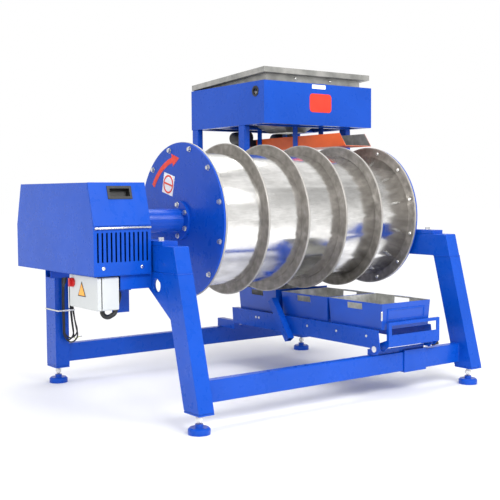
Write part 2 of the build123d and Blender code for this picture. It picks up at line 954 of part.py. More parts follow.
# Vibrating trough with a slanted lip, and the two motors bolted to its sides.
trough_back = 860
trough_lip_bottom = -165
trough_lip_top = -110
trough_sheet = 4
with BuildPart() as feed_trough:
    with BuildSketch(side_plane(trough_left)):
        with BuildLine():
            Polyline(
                (trough_lip_bottom, trough_bottom),
                (trough_back, trough_bottom),
                (trough_back, trough_top),
                (trough_lip_top, trough_top),
                close=True,
            )
        make_face()
    extrude(amount=trough_right - trough_left)
    with BuildSketch(side_plane(trough_left + trough_sheet)):
        with BuildLine():
            Polyline(
                (trough_lip_bottom - 10, trough_bottom + trough_sheet),
                (trough_back - trough_sheet, trough_bottom + trough_sheet),
                (trough_back - trough_sheet, trough_top + 1),
                (trough_lip_top - 80, trough_top + 1),
                close=True,
            )
        make_face()
    extrude(amount=trough_right - trough_left - 2 * trough_sheet, mode=Mode.SUBTRACT)
write(feed_trough, "feed_trough")

motor_list = []
for side_x, facing in ((trough_left, -1), (trough_right, 1)):
    flange_plane = Plane(origin=(side_x, 768, 1360), x_dir=(0, 1, 0), z_dir=(facing, 0, 0))
    with BuildPart() as vibrator:
        with BuildSketch(flange_plane):
            Rectangle(150, 40)
        extrude(amount=70)
        with BuildSketch(Plane(origin=(side_x + facing * 66, 690, 1398), z_dir=(0, 1, 0))):
            Circle(40)
        extrude(amount=156)
    motor_list.append(vibrator)
write(group(motor_list), "vibrator_motors")

# Leaf hangers from the box's cross straps to the trough's sides.
hanger_list = []
for y in (270, 632):
    for x, facing in ((trough_left, -1), (trough_right, 1)):
        low_x = x - 6 if facing < 0 else x
        hanger_list.append(block((low_x, y, trough_bottom + 6), (low_x + 6, y + 40, box_bottom)))
    hanger_list.append(
        block((box_left + post_width, y, box_bottom), (box_right - post_width, y + 40, box_bottom + 12))
    )
write(group(hanger_list), "trough_hangers")

# Tray carriage on the two rails: guides, cross bars, saddles, pull-down gate and splitter.
guide_front = -826
guide_back = 432
guide_thickness = 5
guide_left = tray_left - 18
guide_right = tray_right + 18
gate_pivot = (guide_front + 22, 256)
splitter_pivot = (-95, 300)
pin_radius = 8
guide_list = []
guide_outline = [
    (guide_front, guide_top),
    (guide_front - 14, guide_bottom - 4),
    (guide_front + 6, guide_bottom - 24),
    (guide_front + 50, guide_bottom - 24),
    (guide_front + 56, guide_bottom),
    (guide_back - 8, guide_bottom),
    (guide_back, guide_top),
]
shelf_top = tray_floor - glide_gap
for web_x, shelf_x in (
    (guide_left, guide_left + guide_thickness),
    (guide_right - guide_thickness, guide_right - guide_thickness - 35),
):
    with BuildPart() as guide:
        with BuildSketch(side_plane(web_x)):
            with BuildLine():
                Polyline(*guide_outline, close=True)
            make_face()
            with Locations(gate_pivot, splitter_pivot):
                Circle(pin_radius + running_gap, mode=Mode.SUBTRACT)
        extrude(amount=guide_thickness)
        with Locations((shelf_x + 35 / 2, (guide_front + guide_back) / 2 + 20, shelf_top - 2)):
            Box(35, guide_back - guide_front - 60, 4)
    guide_list.append(guide)
write(group(guide_list), "tray_guides")

# Cross bars, a saddle under the front rail and arms resting on the rear rail.
rail_top = rail_bottom + rail_height
rail_gap = 1
cross_left = guide_left + guide_thickness
cross_right = guide_right - guide_thickness
saddle_left = 492
saddle_right = cross_right
saddle_wall = 6
rear_bar_front = 380
rear_bar_back = 420
carriage_bars = [
    block((cross_left, -780, rail_top + rail_gap), (cross_right, -745, rail_top + 30)),
    block((saddle_left, -798, rail_top + rail_gap), (saddle_right, -734, rail_top + 7)),
    block((cross_left, rear_bar_front, guide_bottom), (cross_right, rear_bar_back, 298)),
]
for x in (cross_left, cross_right - 40):
    carriage_bars.append(
        block(
            (x, rear_bar_back, rail_top + rail_gap),
            (x + 40, rear_rail_front + rail_depth - 5, rail_top + 51),
        )
    )
with BuildPart() as saddle:
    with BuildSketch(side_plane(saddle_left)):
        with Locations((front_rail_front + rail_depth / 2, (rail_bottom + rail_top) / 2)):
            Rectangle(
                rail_depth + 2 * (rail_gap + saddle_wall),
                rail_height + 2 * (rail_gap + saddle_wall),
            )
            Rectangle(rail_depth + 2 * rail_gap, rail_height + 2 * rail_gap, mode=Mode.SUBTRACT)
        with Locations((front_rail_front + rail_depth / 2, rail_top + rail_gap + saddle_wall)):
            Rectangle(rail_depth * 2, 2 * saddle_wall, mode=Mode.SUBTRACT)
    extrude(amount=saddle_right - saddle_left)
carriage_bars.append(saddle)
write(group(carriage_bars), "carriage_bars")

# Trays: open bins side by side, with a hand slot and a rolled grip in each long wall.
tray_sheet = 2
tray_spans = {"front_tray": (-836, -434), "middle_tray": (-421, -27), "rear_tray": (20, 388)}
grip_length = 110
for name, (y0, y1) in tray_spans.items():
    mid_x = (tray_left + tray_right) / 2
    mid_y = (y0 + y1) / 2
    with BuildPart() as tray:
        with BuildSketch(Plane.XY.offset(tray_floor)):
            with Locations((mid_x, mid_y)):
                Rectangle(tray_right - tray_left - 16, y1 - y0 - 16)
        with BuildSketch(Plane.XY.offset(tray_rim)):
            with Locations((mid_x, mid_y)):
                Rectangle(tray_right - tray_left, y1 - y0)
        loft()
        with BuildSketch(Plane.XY.offset(tray_floor + tray_sheet)):
            with Locations((mid_x, mid_y)):
                Rectangle(tray_right - tray_left - 20, y1 - y0 - 20)
        with BuildSketch(Plane.XY.offset(tray_rim)):
            with Locations((mid_x, mid_y)):
                Rectangle(tray_right - tray_left - 4, y1 - y0 - 4)
        loft(mode=Mode.SUBTRACT)
        with BuildSketch(side_plane(tray_left - 5)):
            with Locations((mid_y, tray_rim - 24)):
                Rectangle(grip_length, 32)
        extrude(amount=tray_right - tray_left + 10, mode=Mode.SUBTRACT)
        for x, facing in ((tray_left, -1), (tray_right, 1)):
            low_x = x - 8 if facing < 0 else x - 2
            with Locations((low_x + 5, mid_y, tray_rim - 4)):
                Box(10, grip_length + 12, 8)
    write(tray, name)

# Pull-down gate across the front of the guides, on one cross pin with a clamp knob.
gate_left = guide_left + 44
gate_right = guide_right + 30
gate_top = 390
gate_bottom = 266
gate_face = -858
gate_sheet = 5
gate_middle = (gate_left + gate_right) / 2
with BuildPart() as front_gate:
    with BuildSketch(front_plane(gate_face + gate_sheet)):
        with Locations((gate_middle, (gate_top + gate_bottom) / 2)):
            Rectangle(gate_right - gate_left, gate_top - gate_bottom)
        with Locations((gate_middle, 350)):
            Rectangle(gate_right - gate_left - 44, 48, mode=Mode.SUBTRACT)
    extrude(amount=gate_sheet)
    with Locations((gate_middle, gate_face + 8, gate_top - 3)):
        Box(gate_right - gate_left, 16, 6)
    for x in (gate_left, gate_right - gate_sheet):
        with BuildSketch(side_plane(x)):
            with BuildLine():
                Polyline(
                    (gate_face, gate_top),
                    (gate_face + 16, gate_top),
                    (gate_face + 16, 300),
                    (gate_pivot[0] + 20, gate_pivot[1] + 22),
                    (gate_pivot[0] + 20, gate_pivot[1] - 14),
                    (gate_pivot[0] - 20, gate_pivot[1] - 14),
                    (gate_face, gate_bottom + 6),
                    close=True,
                )
            make_face()
            with Locations(gate_pivot):
                Circle(pin_radius + running_gap, mode=Mode.SUBTRACT)
        extrude(amount=gate_sheet)
write(front_gate, "front_gate")

pin_head = 6
knob_left = gate_right + 12
pin_plane = Plane(
    origin=(guide_left - pin_head, *gate_pivot), x_dir=(0, 1, 0), z_dir=(1, 0, 0)
)
with BuildPart() as gate_pin:
    with BuildSketch(pin_plane):
        Circle(2 * pin_radius)
    extrude(amount=pin_head)
    with BuildSketch(pin_plane.offset(pin_head)):
        Circle(pin_radius)
    extrude(amount=knob_left - glide_gap - guide_left)
write(gate_pin, "gate_pin")

with BuildPart() as gate_knob:
    with BuildSketch(Plane(origin=(knob_left, *gate_pivot), x_dir=(0, 1, 0), z_dir=(1, 0, 0))):
        Circle(20)
        with PolarLocations(20, 5):
            Circle(7)
    extrude(amount=18)
write(gate_knob, "gate_knob")

# Splitter between the rear and middle trays: square arms outside the guides swing a cross blade.
arm_angle = radians(36)
arm_width = 40
arm_below = 91
arm_above = 171
arm_gap = 1
arm_wall = 4
blade_low = 425
blade_high = 492
splitter_list = []
arm_plane = Plane(
    origin=(0, *splitter_pivot),
    x_dir=(0, sin(arm_angle), cos(arm_angle)),
    z_dir=(1, 0, 0),
)
left_arm = guide_left - arm_gap - arm_width
right_arm = guide_right + arm_gap
for x in (left_arm, right_arm):
    with BuildPart() as splitter_arm:
        with BuildSketch(arm_plane.offset(x)):
            with Locations(((arm_above - arm_below) / 2, 0)):
                Rectangle(arm_above + arm_below, arm_width)
        extrude(amount=arm_width)
        with BuildSketch(arm_plane.offset(x + arm_wall)):
            with Locations(((arm_above - arm_below) / 2, 0)):
                Rectangle(arm_above + arm_below, arm_width - 2 * arm_wall)
        extrude(amount=arm_width - 2 * arm_wall, mode=Mode.SUBTRACT)
    splitter_list.append(splitter_arm)
write(group(splitter_list), "splitter_arms")

blade_y = splitter_pivot[0] + arm_above * sin(arm_angle) - 6
splitter_blade = block(
    (left_arm + arm_width, blade_y, blade_low), (right_arm, blade_y + 3, blade_high)
)
shaft_plane = Plane(
    origin=(left_arm + arm_width, *splitter_pivot), x_dir=(0, 1, 0), z_dir=(1, 0, 0)
)
splitter_shaft = round_bar(shaft_plane, pin_radius, right_arm - left_arm - arm_width)
write(group([splitter_blade, splitter_shaft]), "splitter_blade_and_shaft")
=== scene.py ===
"""Looks for the drum magnetic separator: camera, cable, added detail, materials and studio."""
import json
import math

import bmesh
import bpy
from mathutils import Matrix, Vector


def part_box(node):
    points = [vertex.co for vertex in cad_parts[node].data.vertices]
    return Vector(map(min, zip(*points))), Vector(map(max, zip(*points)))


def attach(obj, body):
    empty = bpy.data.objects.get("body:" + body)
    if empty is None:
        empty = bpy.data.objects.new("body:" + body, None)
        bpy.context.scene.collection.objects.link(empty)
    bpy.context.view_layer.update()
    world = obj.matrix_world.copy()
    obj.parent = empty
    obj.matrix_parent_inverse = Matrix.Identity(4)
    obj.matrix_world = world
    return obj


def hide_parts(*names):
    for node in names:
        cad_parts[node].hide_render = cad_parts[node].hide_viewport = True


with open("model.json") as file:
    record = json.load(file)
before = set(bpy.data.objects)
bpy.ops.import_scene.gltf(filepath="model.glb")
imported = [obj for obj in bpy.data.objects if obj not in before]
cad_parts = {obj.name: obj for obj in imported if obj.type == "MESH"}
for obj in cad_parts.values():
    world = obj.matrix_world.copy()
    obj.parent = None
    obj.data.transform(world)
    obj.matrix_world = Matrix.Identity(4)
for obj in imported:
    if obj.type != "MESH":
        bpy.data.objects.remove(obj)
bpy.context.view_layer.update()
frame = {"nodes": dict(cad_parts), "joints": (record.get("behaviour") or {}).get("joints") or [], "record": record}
nodes = frame["nodes"]
scene = bpy.context.scene
spin = next(joint for joint in frame["joints"] if joint["name"] == "drum_spin")
axis_y, axis_z = spin["pos_m"][1:]


# Camera at the photograph's viewing angle

def add_camera():
    """Camera 1.04 m above the floor, level to within a few degrees, in front of the drive end."""
    yaw, pitch, roll = math.radians(36.341), math.radians(3.507), math.radians(0.376)
    forward = Vector(
        (math.sin(yaw) * math.cos(pitch), math.cos(yaw) * math.cos(pitch), -math.sin(pitch))
    )
    level = Vector((math.cos(yaw), -math.sin(yaw), 0))
    down = forward.cross(level)
    right = level * math.cos(roll) + down * math.sin(roll)
    up = level * math.sin(roll) - down * math.cos(roll)
    data = bpy.data.cameras.new("camera")
    data.sensor_width = 36
    data.lens = 67.36
    camera = bpy.data.objects.new("camera", data)
    turn = Matrix((right, up, -forward)).transposed().to_4x4()
    camera.matrix_world = Matrix.Translation((-2.98379, -4.18295, 1.04404)) @ turn
    scene.collection.objects.link(camera)
    scene.camera = camera


add_camera()


# Mesh helpers

def link(name, mesh, body):
    """Adds a finished mesh or curve as a piece that rides on a body."""
    piece = bpy.data.objects.new(name, mesh)
    scene.collection.objects.link(piece)
    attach(piece, body)
    return piece


def mesh_from(name, build):
    """Mesh made by a function that fills a bmesh."""
    shape = bmesh.new()
    build(shape)
    bmesh.ops.recalc_face_normals(shape, faces=shape.faces)
    mesh = bpy.data.meshes.new(name)
    shape.to_mesh(mesh)
    shape.free()
    return mesh


def plate(shape, outline, place, thickness, bevel=0.0):
    """Flat plate: an outline in the place's own X and Y, thickened along its Z."""
    bottom = [shape.verts.new(place @ Vector((x, y, 0))) for x, y in outline]
    top = [shape.verts.new(place @ Vector((x, y, thickness))) for x, y in outline]
    count = len(outline)
    shape.faces.new(bottom[::-1])
    cap = shape.faces.new(top)
    for i in range(count):
        j = (i + 1) % count
        shape.faces.new((bottom[i], bottom[j], top[j], top[i]))
    if bevel:
        bmesh.ops.bevel(
            shape, geom=list(cap.edges), offset=bevel, segments=2, affect="EDGES", profile=0.5
        )


def lathe(shape, profile, place, steps=32):
    """Turned solid: (radius, height) points revolved about the place's Z axis."""
    rings = []
    for radius, height in profile:
        ring = []
        for i in range(steps):
            turn = 2 * math.pi * i / steps
            spot = Vector((radius * math.cos(turn), radius * math.sin(turn), height))
            ring.append(shape.verts.new(place @ spot))
        rings.append(ring)
    for low, high in zip(rings, rings[1:]):
        for i in range(steps):
            j = (i + 1) % steps
            shape.faces.new((low[i], low[j], high[j], high[i]))
    shape.faces.new(rings[0][::-1])
    shape.faces.new(rings[-1])


def facing(origin, normal, x_dir):
    """Place whose Z is a normal and whose X is a direction along the surface."""
    z = Vector(normal).normalized()
    x = (Vector(x_dir) - z * z.dot(Vector(x_dir))).normalized()
    return Matrix.Translation(origin) @ Matrix((x, z.cross(x), z)).transposed().to_4x4()


class Finish:
    """A node material with the few building blocks that the finishes share."""

    def __init__(self, name, metallic, roughness, **extra):
        self.material = bpy.data.materials.new(name)
        self.material.use_nodes = True
        self.tree = self.material.node_tree
        self.shader = self.tree.nodes["Principled BSDF"]
        self.shader.inputs["Metallic"].default_value = metallic
        self.shader.inputs["Roughness"].default_value = roughness
        for socket, value in extra.items():
            self.shader.inputs[socket.replace("_", " ")].default_value = value
        self.coordinates = self.tree.nodes.new("ShaderNodeTexCoord").outputs["Object"]

    def join(self, source, target):
        self.tree.links.new(source, target)

    def node(self, kind, **settings):
        made = self.tree.nodes.new(kind)
        for key, value in settings.items():
            setattr(made, key, value)
        return made

    def noise(self, scale, detail=3.0, stretch=None, coordinates=None):
        """Noise value; stretch scales the coordinates along X, Y and Z."""
        where = coordinates or self.coordinates
        if stretch:
            mapping = self.node("ShaderNodeMapping")
            mapping.inputs["Scale"].default_value = stretch
            self.join(where, mapping.inputs["Vector"])
            where = mapping.outputs["Vector"]
        noise = self.node("ShaderNodeTexNoise")
        noise.inputs["Scale"].default_value = scale
        noise.inputs["Detail"].default_value = detail
        self.join(where, noise.inputs["Vector"])
        return noise.outputs["Fac"]

    def ramp(self, value, stops):
        """Colour ramp with (position, colour) stops."""
        ramp = self.node("ShaderNodeValToRGB")
        points = ramp.color_ramp.elements
        while len(points) < len(stops):
            points.new(0.5)
        for point, (position, colour) in zip(points, stops):
            point.position = position
            point.color = (*colour, 1)
        self.join(value, ramp.inputs["Fac"])
        return ramp.outputs["Color"]

    def mix(self, factor, first, second):
        """Mixes two colours by a value."""
        mix = self.node("ShaderNodeMix", data_type="RGBA")
        self.join(factor, mix.inputs[0])
        for value, socket in ((first, mix.inputs[6]), (second, mix.inputs[7])):
            if isinstance(value, tuple):
                socket.default_value = (*value, 1)
            else:
                self.join(value, socket)
        return mix.outputs[2]

    def scale_to(self, value, low, high, start=0.3, end=0.7):
        """Value moved from the range start..end to low..high."""
        remap = self.node("ShaderNodeMapRange")
        self.join(value, remap.inputs["Value"])
        for key, number in (("From Min", start), ("From Max", end), ("To Min", low), ("To Max", high)):
            remap.inputs[key].default_value = number
        return remap.outputs["Result"]

    def maths(self, operation, first, second=None):
        """Math node on values or numbers."""
        made = self.node("ShaderNodeMath", operation=operation)
        for value, socket in zip((first, second), made.inputs):
            if value is None:
                continue
            if isinstance(value, (int, float)):
                socket.default_value = value
            else:
                self.join(value, socket)
        return made.outputs[0]

    def bump(self, value, strength, distance):
        bump = self.node("ShaderNodeBump")
        bump.inputs["Strength"].default_value = strength
        bump.inputs["Distance"].default_value = distance
        self.join(value, bump.inputs["Height"])
        self.join(bump.outputs["Normal"], self.shader.inputs["Normal"])

    def colour(self, source):
        self.join(source, self.shader.inputs["Base Color"])

    def rough(self, source):
        self.join(source, self.shader.inputs["Roughness"])


def painted(name, base, roughness=0.28, texture=0.12):
    """Powder coat: fine orange-peel, slight cloudiness and a little dust in the gloss."""
    gloss = {"Specular_IOR_Level": 0.2, "Coat_Weight": 0.12, "Coat_Roughness": 0.12}
    finish = Finish(name, 0.0, roughness, **gloss)
    cloud = finish.noise(4.0, 4.0)
    dark = tuple(0.93 * c for c in base)
    light = tuple(min(1.0, 1.05 * c + 0.002) for c in base)
    finish.colour(finish.ramp(cloud, [(0.3, dark), (0.7, light)]))
    finish.rough(finish.scale_to(finish.noise(22.0, 5.0), roughness - 0.05, roughness + 0.1))
    finish.bump(finish.noise(260.0, 2.0), texture, 0.0006)
    return finish.material


def drum_coordinates(finish):
    """The vector (distance along the drum, turn about its axis, radius), and the radius by itself."""
    split = finish.node("ShaderNodeSeparateXYZ")
    finish.join(finish.coordinates, split.inputs[0])
    y = finish.maths("SUBTRACT", split.outputs["Y"], axis_y)
    z = finish.maths("SUBTRACT", split.outputs["Z"], axis_z)
    squares = finish.maths("ADD", finish.maths("MULTIPLY", y, y), finish.maths("MULTIPLY", z, z))
    radius = finish.maths("SQRT", squares)
    join = finish.node("ShaderNodeCombineXYZ")
    finish.join(split.outputs["X"], join.inputs[0])
    finish.join(finish.maths("ARCTAN2", z, y), join.inputs[1])
    finish.join(radius, join.inputs[2])
    return join.outputs[0], radius


def stainless_shell():
    """Rolled stainless skin: fine rubbing marks round the drum and broad worn streaks along it."""
    finish = Finish("stainless_shell", 1.0, 0.2, Anisotropic=0.3)
    where = drum_coordinates(finish)[0]
    worn = finish.noise(1.0, 6.0, (9.0, 7.0, 1.0), where)
    marks = finish.noise(1.0, 4.0, (26.0, 60.0, 1.0), where)
    rubbed = finish.noise(1.0, 3.0, (420.0, 5.0, 1.0), where)
    tones = [(0.3, (0.62, 0.61, 0.59)), (0.52, (0.78, 0.77, 0.75)), (0.7, (0.88, 0.87, 0.85))]
    scratched = finish.scale_to(marks, 0.0, 0.2, 0.45, 0.75)
    finish.colour(finish.mix(scratched, finish.ramp(worn, tones), (0.46, 0.44, 0.42)))
    dull = finish.maths("ADD", finish.maths("MULTIPLY", worn, 0.6), finish.maths("MULTIPLY", rubbed, 0.4))
    finish.rough(finish.scale_to(dull, 0.26, 0.12))
    finish.bump(finish.maths("ADD", rubbed, finish.maths("MULTIPLY", marks, 0.6)), 0.07, 0.0006)
    return finish.material


def ground_ring():
    """Ring of rolled plate: dull, ground and grubby, with a brighter rubbed rim."""
    finish = Finish("ground_ring", 0.55, 0.5)
    where, radius = drum_coordinates(finish)
    grime = finish.noise(26.0, 9.0)
    swirl = finish.noise(1.0, 5.0, (60.0, 10.0, 160.0), where)
    tones = [(0.3, (0.18, 0.165, 0.148)), (0.5, (0.26, 0.242, 0.22)), (0.72, (0.36, 0.338, 0.31))]
    tone = finish.mix(finish.scale_to(swirl, 0.0, 0.35), finish.ramp(grime, tones), (0.14, 0.125, 0.11))
    rim = finish.scale_to(radius, 0.0, 0.55, 0.392, 0.399)
    finish.colour(finish.mix(rim, tone, (0.62, 0.60, 0.57)))
    finish.rough(finish.scale_to(grime, 0.62, 0.45))
    finish.bump(finish.maths("ADD", grime, swirl), 0.22, 0.0012)
    return finish.material


def steel(name, tones, roughness, metallic=1.0, scale=30.0, strength=0.12):
    """Bare or plated steel with mottled tone."""
    finish = Finish(name, metallic, roughness)
    cloud = finish.noise(scale, 6.0)
    finish.colour(finish.ramp(cloud, list(zip((0.3, 0.5, 0.7), tones))))
    finish.rough(finish.scale_to(finish.noise(scale * 2.3, 4.0), roughness + 0.1, roughness - 0.06))
    finish.bump(finish.noise(scale * 6, 3.0), strength, 0.0008)
    return finish.material


def plastic(name, base, roughness, scale=700.0, strength=0.25):
    """Moulded plastic or rubber with a fine grain."""
    finish = Finish(name, 0.0, roughness)
    light = tuple(1.35 * c + 0.003 for c in base)
    finish.colour(finish.ramp(finish.noise(18.0, 4.0), [(0.3, base), (0.75, light)]))
    finish.rough(finish.scale_to(finish.noise(40.0, 3.0), roughness - 0.06, roughness + 0.08))
    finish.bump(finish.noise(scale, 2.0), strength, 0.0005)
    return finish.material


def lined_tray(node):
    """Painted outside and bare zinc inside, told apart by which way a wall faces and where it is."""
    low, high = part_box(node)
    middle = (Vector(low) + Vector(high)) / 2
    floor_depth = 0.02
    finish = Finish(node + "_finish", 0.0, 0.3)
    split = finish.node("ShaderNodeSeparateXYZ")
    finish.join(finish.coordinates, split.inputs[0])
    normal = finish.node("ShaderNodeSeparateXYZ")
    finish.join(finish.node("ShaderNodeNewGeometry").outputs["True Normal"], normal.inputs[0])
    x = finish.maths("SUBTRACT", split.outputs["X"], middle.x)
    y = finish.maths("SUBTRACT", split.outputs["Y"], middle.y)
    outward_x = finish.maths("MULTIPLY", x, normal.outputs["X"])
    outward_y = finish.maths("MULTIPLY", y, normal.outputs["Y"])
    inward = finish.maths("LESS_THAN", finish.maths("ADD", outward_x, outward_y), -0.02)
    level = finish.maths("GREATER_THAN", normal.outputs["Z"], 0.7)
    deep = finish.maths("LESS_THAN", split.outputs["Z"], low[2] + floor_depth)
    floor = finish.maths("MULTIPLY", level, deep)
    inside = finish.maths("MAXIMUM", inward, floor)
    tones = [(0.3, (0.34, 0.34, 0.32)), (0.55, (0.55, 0.55, 0.53)), (0.75, (0.7, 0.7, 0.68))]
    bare = finish.ramp(finish.noise(26.0, 7.0), tones)
    dark = tuple(0.84 * c for c in BLUE)
    light = tuple(1.12 * c for c in BLUE)
    coat = finish.ramp(finish.noise(4.0, 4.0), [(0.3, dark), (0.7, light)])
    finish.colour(finish.mix(inside, coat, bare))
    finish.join(finish.maths("MULTIPLY", inside, 0.75), finish.shader.inputs["Metallic"])
    finish.bump(finish.noise(240.0, 2.0), 0.12, 0.0006)
    return finish.material


def trough_finish():
    """Orange outside, bare dark steel on the channel's inner faces."""
    low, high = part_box("feed_trough")
    middle = (low[0] + high[0]) / 2
    finish = Finish("trough_finish", 0.0, 0.38)
    split = finish.node("ShaderNodeSeparateXYZ")
    finish.join(finish.coordinates, split.inputs[0])
    across = finish.maths("ABSOLUTE", finish.maths("SUBTRACT", split.outputs["X"], middle))
    inner = finish.maths("LESS_THAN", across, (high[0] - low[0]) / 2 - 0.002)
    above = finish.maths("GREATER_THAN", split.outputs["Z"], low[2] + 0.002)
    inside = finish.maths("MULTIPLY", inner, above)
    orange = finish.ramp(finish.noise(6.0, 4.0), [(0.3, (0.66, 0.085, 0.008)), (0.7, (0.86, 0.14, 0.02))])
    bare = finish.ramp(finish.noise(30.0, 6.0), [(0.3, (0.13, 0.13, 0.12)), (0.7, (0.24, 0.235, 0.22))])
    finish.colour(finish.mix(inside, orange, bare))
    finish.bump(finish.noise(200.0, 2.0), 0.12, 0.0006)
    return finish.material


BLUE = (0.001, 0.068, 0.47)
blue_paint = painted("blue_paint", BLUE)
orange_paint = painted("orange_paint", (0.78, 0.115, 0.012), 0.35)
light_grey = painted("light_grey_enamel", (0.56, 0.58, 0.58), 0.35, 0.2)
dark_paint = painted("dark_paint", (0.018, 0.018, 0.02), 0.45)
ZINC_TONES = ((0.55, 0.55, 0.54), (0.68, 0.68, 0.66), (0.78, 0.77, 0.74))
MILL_TONES = ((0.25, 0.25, 0.24), (0.36, 0.36, 0.34), (0.47, 0.46, 0.44))
MAGNET_TONES = ((0.08, 0.08, 0.09), (0.12, 0.12, 0.13), (0.18, 0.18, 0.18))
CHROME_TONES = ((0.72, 0.72, 0.72), (0.8, 0.8, 0.8), (0.86, 0.86, 0.86))
zinc = steel("zinc_plate", ZINC_TONES, 0.28)
raw_steel = steel("mill_steel", MILL_TONES, 0.42, 0.75, 12.0, 0.25)
magnet = steel("sintered_magnet", MAGNET_TONES, 0.5, 0.7)
chrome = steel("bright_chrome", CHROME_TONES, 0.12, 1.0, 30.0, 0.03)
black_plastic = plastic("black_plastic", (0.012, 0.012, 0.012), 0.45)
red_plastic = plastic("red_plastic", (0.5, 0.012, 0.012), 0.32)
rubber = plastic("cable_rubber", (0.01, 0.01, 0.011), 0.55, 900.0, 0.3)
white_film = plastic("white_film", (0.78, 0.78, 0.76), 0.35, 500.0, 0.05)
red_film = plastic("red_film", (0.72, 0.03, 0.01), 0.38, 500.0, 0.05)
amber_film = plastic("amber_film", (0.85, 0.36, 0.04), 0.38, 500.0, 0.05)
earth_green = plastic("earth_core", (0.42, 0.5, 0.02), 0.4)

SLOT_FINISH = {
    "blue_paint": blue_paint,
    "stainless": stainless_shell(),
    "raw_steel": raw_steel,
    "zinc": zinc,
    "chrome": chrome,
    "dark_paint": dark_paint,
    "light_grey": light_grey,
    "orange_paint": orange_paint,
    "black_plastic": black_plastic,
    "red_plastic": red_plastic,
    "rubber": rubber,
    "magnet": magnet,
}


def paint(piece, *materials):
    """Gives a piece its materials, in place of those it came with."""
    piece.data.materials.clear()
    for material in materials:
        piece.data.materials.append(material)


def finish_cad_nodes():
    """Every CAD node takes its slot's finish; its edges are rounded, and those of the square tubes more."""
    slots = {part["node"]: part["material_slot"] for part in frame["record"]["subparts"]}
    ring = ground_ring()
    special = {"drum_rings": ring, "drum_end_flanges": ring, "feed_trough": trough_finish()}
    for tray in ("front_tray", "middle_tray", "rear_tray"):
        special[tray] = lined_tray(tray)
    square_tubes = {"top_beams", "front_legs", "rear_legs", "long_rails", "bridge_beams", "feeder_stand"}
    for name, piece in nodes.items():
        paint(piece, special.get(name, SLOT_FINISH[slots[name]]))
        weld = piece.modifiers.new("weld", "WELD")
        weld.merge_threshold = 0.00002
        bevel = piece.modifiers.new("edge", "BEVEL")
        bevel.limit_method = "ANGLE"
        bevel.angle_limit = math.radians(40)
        bevel.segments = 3 if name in square_tubes else 2
        bevel.width = 0.004 if name in square_tubes else 0.0008
        bevel.use_clamp_overlap = True
        bevel.harden_normals = True


finish_cad_nodes()


# Supply cable: lead from the gland, then the hank's turns down the rear leg

CABLE = 0.008
HANK_X = -0.769


def cable_route():
    """The lead's listed points, then three and a half long turns beside each other."""
    lead = [
        (-0.870, 0.330, 0.662),
        (-0.870, 0.330, 0.618),
        (-0.862, 0.356, 0.580),
        (-0.848, 0.396, 0.556),
        (-0.828, 0.438, 0.550),
        (-0.804, 0.470, 0.562),
        (-0.790, 0.486, 0.582),
        (-0.784, 0.501, 0.606),
    ]
    turns = []
    pitch = 0.0088
    half = 0.022
    for step in range(42):
        turn, stage = divmod(step, 12)
        top = 0.633 - 0.009 * turn
        bottom = 0.223 + 0.011 * ((2 * turn) % 3)
        flare = 0.030 + 0.014 * math.sin(1.7 * turn + 0.6)
        stages = [
            (0, top),
            (half, top - half),
            (half, top - 0.09),
            (half + 0.1 * flare, top - 0.19),
            (half + 0.5 * flare, bottom + 0.10),
            (half + flare, bottom + 0.035),
            (0.5 * flare, bottom),
            (-half, bottom + 0.03),
            (-half, bottom + 0.10),
            (-half - 0.002, top - 0.20),
            (-half, top - 0.09),
            (-half, top - half),
        ]
        x, z = stages[stage]
        turns.append((HANK_X + x, 0.507 + pitch * step / 12, z))
    return lead + turns


def smooth_line(name, points, thickness):
    """Open smooth curve through control points, with a half thickness at each point."""
    data = bpy.data.curves.new(name, "CURVE")
    data.dimensions = "3D"
    spline = data.splines.new("NURBS")
    spline.points.add(len(points) - 1)
    for point, spot in zip(spline.points, points):
        point.co = (*spot, 1)
        point.radius = thickness
    spline.order_u = 3
    spline.use_endpoint_u = True
    spline.resolution_u = 8
    return data


def curve_piece(name, points, radius, body, finish):
    """Round cord or wire along a smooth line."""
    data = smooth_line(name, points, radius)
    data.bevel_depth = 1
    data.bevel_resolution = 4
    data.use_fill_caps = True
    piece = link(name, data, body)
    paint(piece, finish)
    return piece


def route_length(points):
    """Length of the smooth line through a route's control points."""
    data = smooth_line("measure", points, 0)
    data.splines[0].resolution_u = 16
    mesh = bpy.data.meshes.new_from_object(bpy.data.objects.new("measure", data))
    spots = mesh.vertices
    return sum((spots[a].co - spots[b].co).length for a, b in (edge.vertices for edge in mesh.edges))


def add_cable():
    """Supply cable with its bare end: one earth core in a lug."""
    route = cable_route()
    cable = curve_piece("supply_cable", route, CABLE / 2, "frame", rubber)
    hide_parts("supply_cable_hank", "supply_cable_lead")
    end = Vector(route[-1])
    steps = (
        (0, 0, 0),
        (0.004, 0, -0.012),
        (0.014, -0.004, -0.014),
        (0.024, -0.006, -0.004),
        (0.034, -0.006, -0.004),
    )
    core_points = [end + Vector(step) for step in steps]
    core = curve_piece("earth_core", core_points, 0.002, "frame", earth_green)
    lug_place = facing(core_points[-1], (0, -1, 0), (1, 0, 0))

    half = [(-0.004, 0.0025), (0.004, 0.004), (0.011, 0.0035)]
    outline = [(x, -y) for x, y in half] + [(0.014, 0)] + half[::-1]

    def lug_shape(shape):
        plate(shape, outline, lug_place, 0.0015, 0.0003)

    lug = link("earth_lug", mesh_from("earth_lug", lug_shape), "frame")
    paint(lug, zinc)
    round(route_length(route), 2)


add_cable()


# Added detail

def heads(name, spots, normal, radius, height, body, finish):
    """Domed fastener heads on a flat face."""

    def build(shape):
        profile = [
            (radius, 0),
            (radius, 0.35 * height),
            (0.8 * radius, 0.8 * height),
            (0.4 * radius, height),
        ]
        for spot in spots:
            lathe(shape, profile, facing(spot, normal, (0, 0.6, 0.8)), 20)

    piece = link(name, mesh_from(name, build), body)
    paint(piece, finish)


